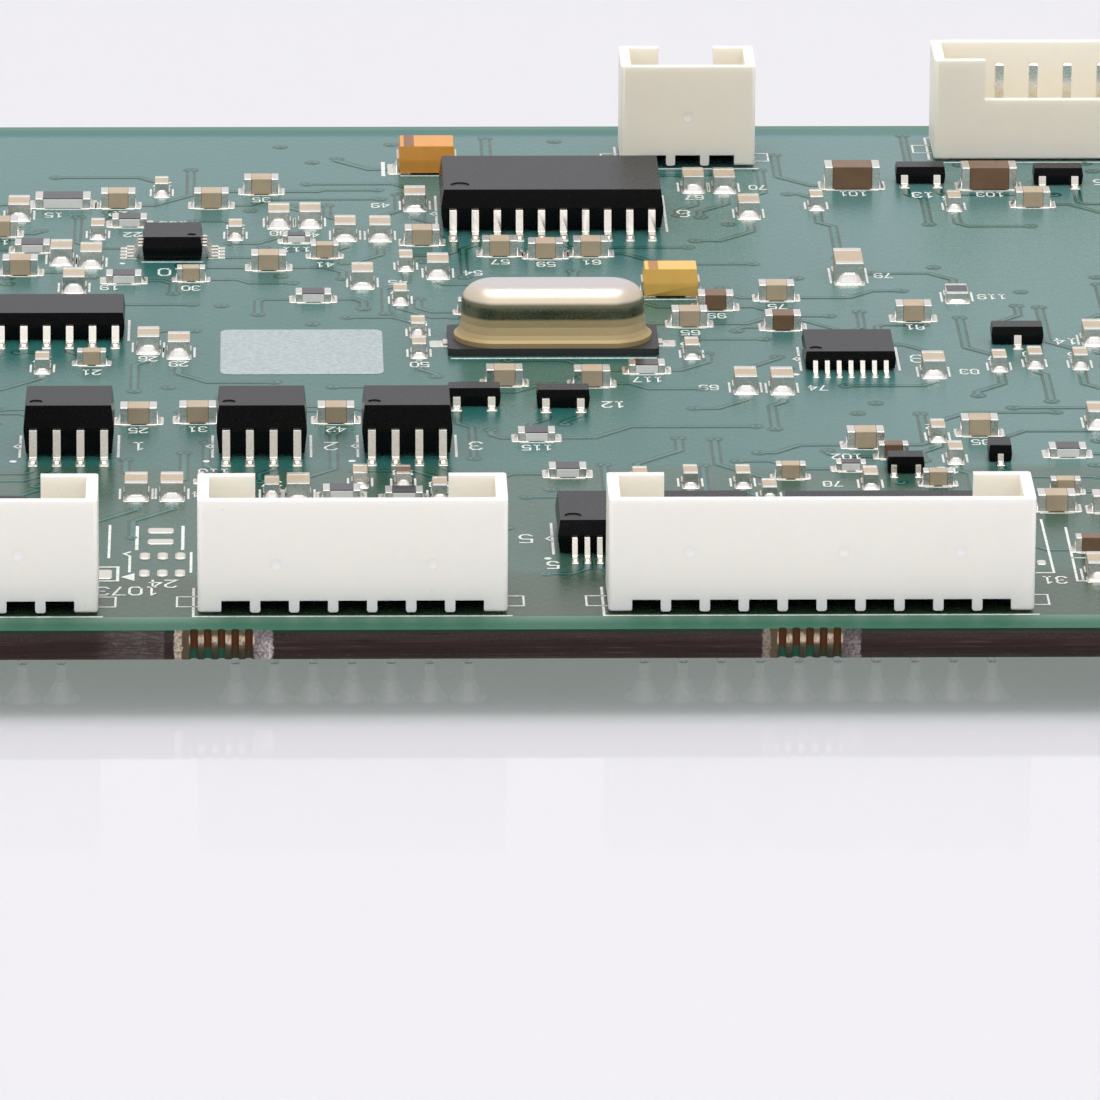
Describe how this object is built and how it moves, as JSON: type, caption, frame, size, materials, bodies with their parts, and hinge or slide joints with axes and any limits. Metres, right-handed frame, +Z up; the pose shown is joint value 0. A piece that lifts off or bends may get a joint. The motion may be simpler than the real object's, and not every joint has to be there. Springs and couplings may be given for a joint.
{
  "type": "printed circuit board",
  "caption": "Rectangular green circuit board with shrouded pin headers along its edges, surface-mounted circuits, a metal-can crystal and chip parts, standing on its pin tips.",
  "frame": {"origin": "centre of the footprint, on the plane the pin tips stand on", "axes": "+Z up out of the component side, +Y from the front edge with three headers to the rear edge, +X to the right along the front edge"},
  "size_m": [0.1, 0.096, 0.0096],
  "materials": {
    "board_laminate": "glass-epoxy laminate, brown-grey cut edges, glossy green solder mask on both faces",
    "header_nylon": "ivory moulded nylon, fine satin",
    "tinned_pins": "tin plated square pins",
    "solder": "bright solder",
    "tinned_leads": "tin plated leads and ends",
    "can_metal": "polished nickel-plated can",
    "base_plastic": "black moulded",
    "ic_moulding": "black epoxy moulding, fine matt",
    "orange_moulding": "orange epoxy moulding",
    "yellow_moulding": "yellow epoxy moulding",
    "capacitor_ceramic": "fired tan ceramic",
    "brown_ceramic": "fired brown ceramic",
    "resistor_ceramic": "white alumina",
    "resistor_coat": "black glaze"
  },
  "bodies": {
    "root": {"board": "board_laminate", "brown_capacitor_bodies": "brown_ceramic", "brown_capacitor_terminals": "tinned_leads", "chip_capacitor_bodies": "capacitor_ceramic", "chip_capacitor_terminals": "tinned_leads", "chip_resistor_bodies": "resistor_ceramic", "chip_resistor_coats": "resistor_coat", "chip_resistor_terminals": "tinned_leads", "crystal_base": "base_plastic", "crystal_can": "can_metal", "crystal_terminals": "tinned_leads", "diode_body": "ic_moulding", "diode_leads": "tinned_leads", "fine_pitch_ic_bodies": "ic_moulding", "fine_pitch_ic_leads": "tinned_leads", "left_header_housing": "header_nylon", "left_header_pins": "tinned_pins", "left_header_solder": "solder", "middle_header_housing": "header_nylon", "middle_header_pins": "tinned_pins", "middle_header_solder": "solder", "narrow_ic_body": "ic_moulding", "narrow_ic_leads": "tinned_leads", "optocoupler_bodies": "ic_moulding", "optocoupler_leads": "tinned_leads", "rear_small_header_housing": "header_nylon", "rear_small_header_pins": "tinned_pins", "rear_small_header_solder": "solder", "rear_wide_header_housing": "header_nylon", "rear_wide_header_pins": "tinned_pins", "rear_wide_header_solder": "solder", "right_header_housing": "header_nylon", "right_header_pins": "tinned_pins", "right_header_solder": "solder", "small_ic_body": "ic_moulding", "small_ic_leads": "tinned_leads", "small_transistor_body": "ic_moulding", "small_transistor_leads": "tinned_leads", "tantalum_capacitor_orange": "orange_moulding", "tantalum_capacitor_yellow": "yellow_moulding", "tantalum_terminals": "tinned_leads", "thin_ic_body": "ic_moulding", "thin_ic_leads": "tinned_leads", "transistor_bodies": "ic_moulding", "transistor_leads": "tinned_leads", "wide_ic_body": "ic_moulding", "wide_ic_leads": "tinned_leads"}
  },
  "joints": []
}
